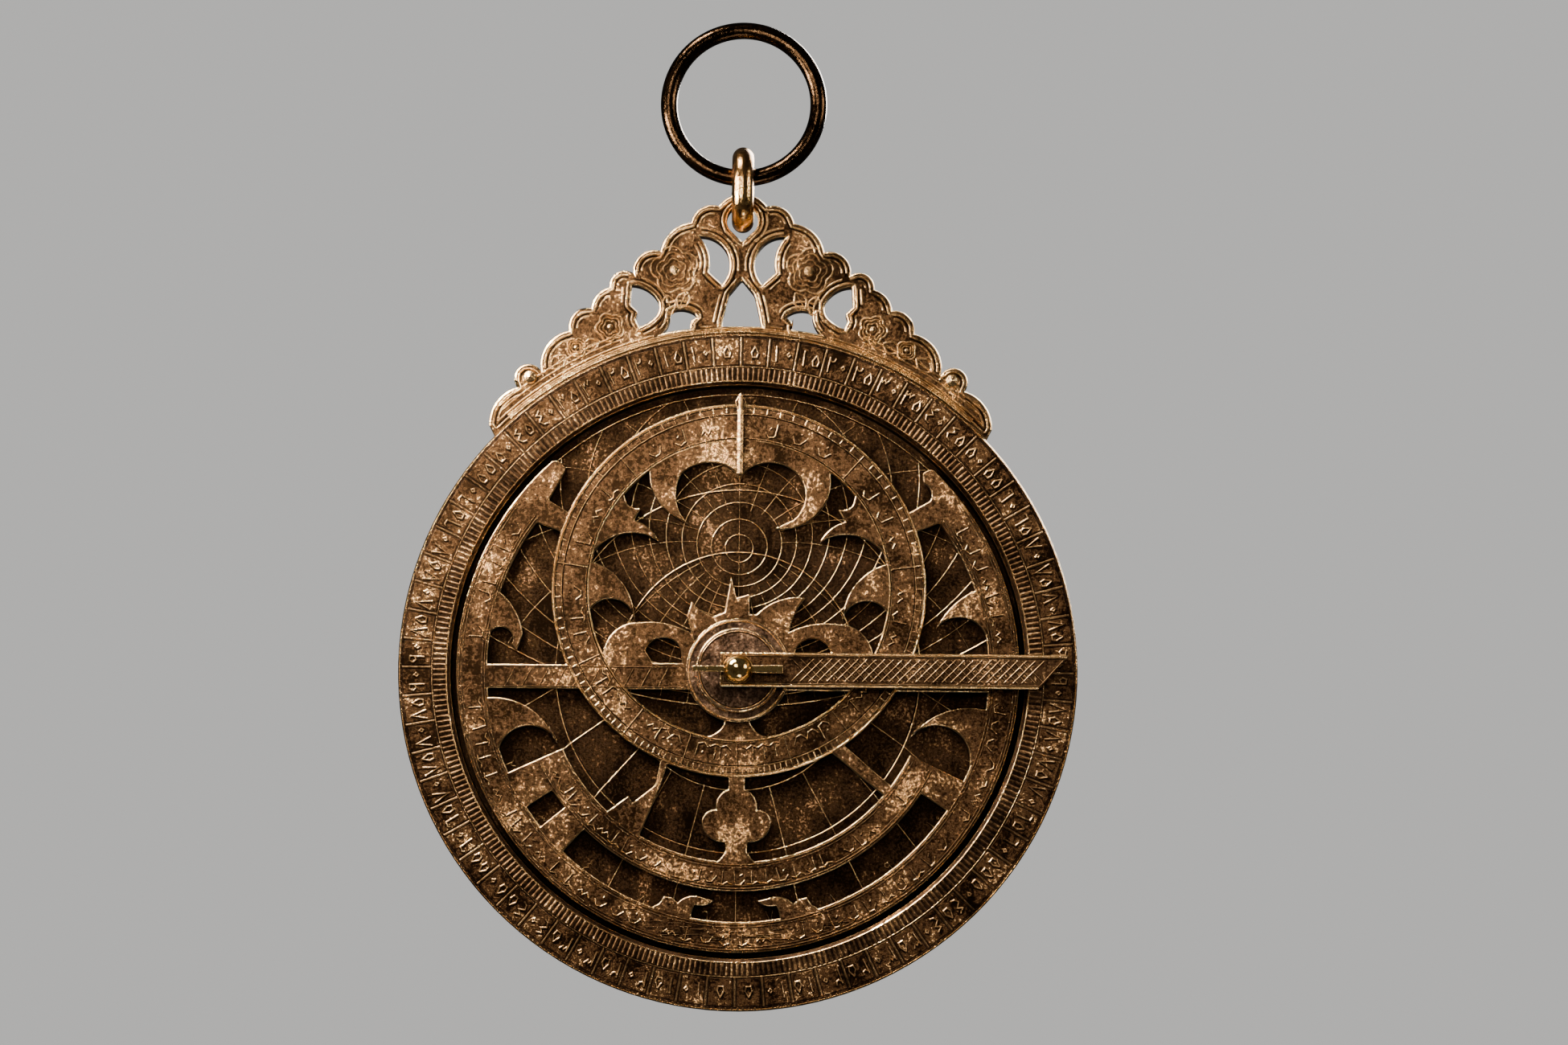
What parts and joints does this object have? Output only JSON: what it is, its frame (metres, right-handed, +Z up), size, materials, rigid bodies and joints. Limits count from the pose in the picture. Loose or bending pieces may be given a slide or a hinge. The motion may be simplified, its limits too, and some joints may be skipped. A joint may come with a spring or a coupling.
{
  "type": "planispheric astrolabe",
  "caption": "Brass astrolabe hanging from a ring: engraved limb, pierced star map over a plate, half rule, pin and wedge, scalloped openwork throne, and a sighting bar behind.",
  "frame": {"origin": "inside top of the suspension ring, at the middle of its wire's depth, where a finger or a hook carries the astrolabe", "axes": "+Z up; the engraved face looks towards -Y; +X to the right seen from the face"},
  "size_m": [0.12, 0.0261, 0.1768],
  "materials": {
    "mater_brass": "aged, dark in the engraving and worn bright at the edges",
    "throne_brass": "aged, dark in the recesses and worn bright at the edges",
    "plate_brass": "dull brown patina",
    "rete_brass": "aged, with bright bevelled edges",
    "rule_brass": "satin",
    "hub_metal": "worn, greyish",
    "pin_brass": "polished",
    "link_brass": "polished",
    "ring_bronze": "dark bronze, polished"
  },
  "bodies": {
    "ring": {"suspension_ring": "ring_bronze"},
    "link": {"shackle": "link_brass"},
    "mater": {"mater_plate": "mater_brass", "limb_ring": "mater_brass", "limb_rivets": "mater_brass", "throne": "throne_brass", "throne_rivets": "mater_brass", "plate_peg": "plate_brass", "climate_plate_1": "plate_brass", "climate_plate_2": "plate_brass", "climate_plate_3": "plate_brass", "climate_plate_4": "plate_brass"},
    "star_map": {"rete": "rete_brass", "capricorn_pointer": "rete_brass", "hub_disc": "hub_metal"},
    "half_rule": {"rule": "rule_brass"},
    "pin": {"centre_pin": "pin_brass", "hub_washer": "hub_metal", "rear_washer": "hub_metal"},
    "wedge": {"wedge": "pin_brass"},
    "sights": {"alidade": "rule_brass", "sight_vane_left": "rule_brass", "sight_vane_right": "rule_brass"}
  },
  "joints": [
    {"name": "link_swing", "type": "hinge", "parent": "ring", "child": "link", "pos_m": [0, 0, -0.0253], "axis": [1, 0, 0], "range_deg": [-90, 90]},
    {"name": "throne_swing", "type": "hinge", "parent": "link", "child": "mater", "pos_m": [0, 0, -0.03323], "axis": [0, 1, 0], "range_deg": [-30, 30]},
    {"name": "rete_turn", "type": "hinge", "parent": "mater", "child": "star_map", "pos_m": [0, 0.00375, -0.11378], "axis": [0, -1, 0], "continuous": true},
    {"name": "rule_turn", "type": "hinge", "parent": "mater", "child": "half_rule", "pos_m": [0, 0.00375, -0.11378], "axis": [0, -1, 0], "continuous": true},
    {"name": "alidade_turn", "type": "hinge", "parent": "mater", "child": "sights", "pos_m": [0, 0.00375, -0.11378], "axis": [0, -1, 0], "continuous": true},
    {"name": "pin_turn", "type": "hinge", "parent": "mater", "child": "pin", "pos_m": [0, 0.00375, -0.11378], "axis": [0, -1, 0], "continuous": true},
    {"name": "wedge_pull", "type": "slide", "parent": "pin", "child": "wedge", "axis": [1, 0, 0], "range_m": [0, 0.014]}
  ]
}
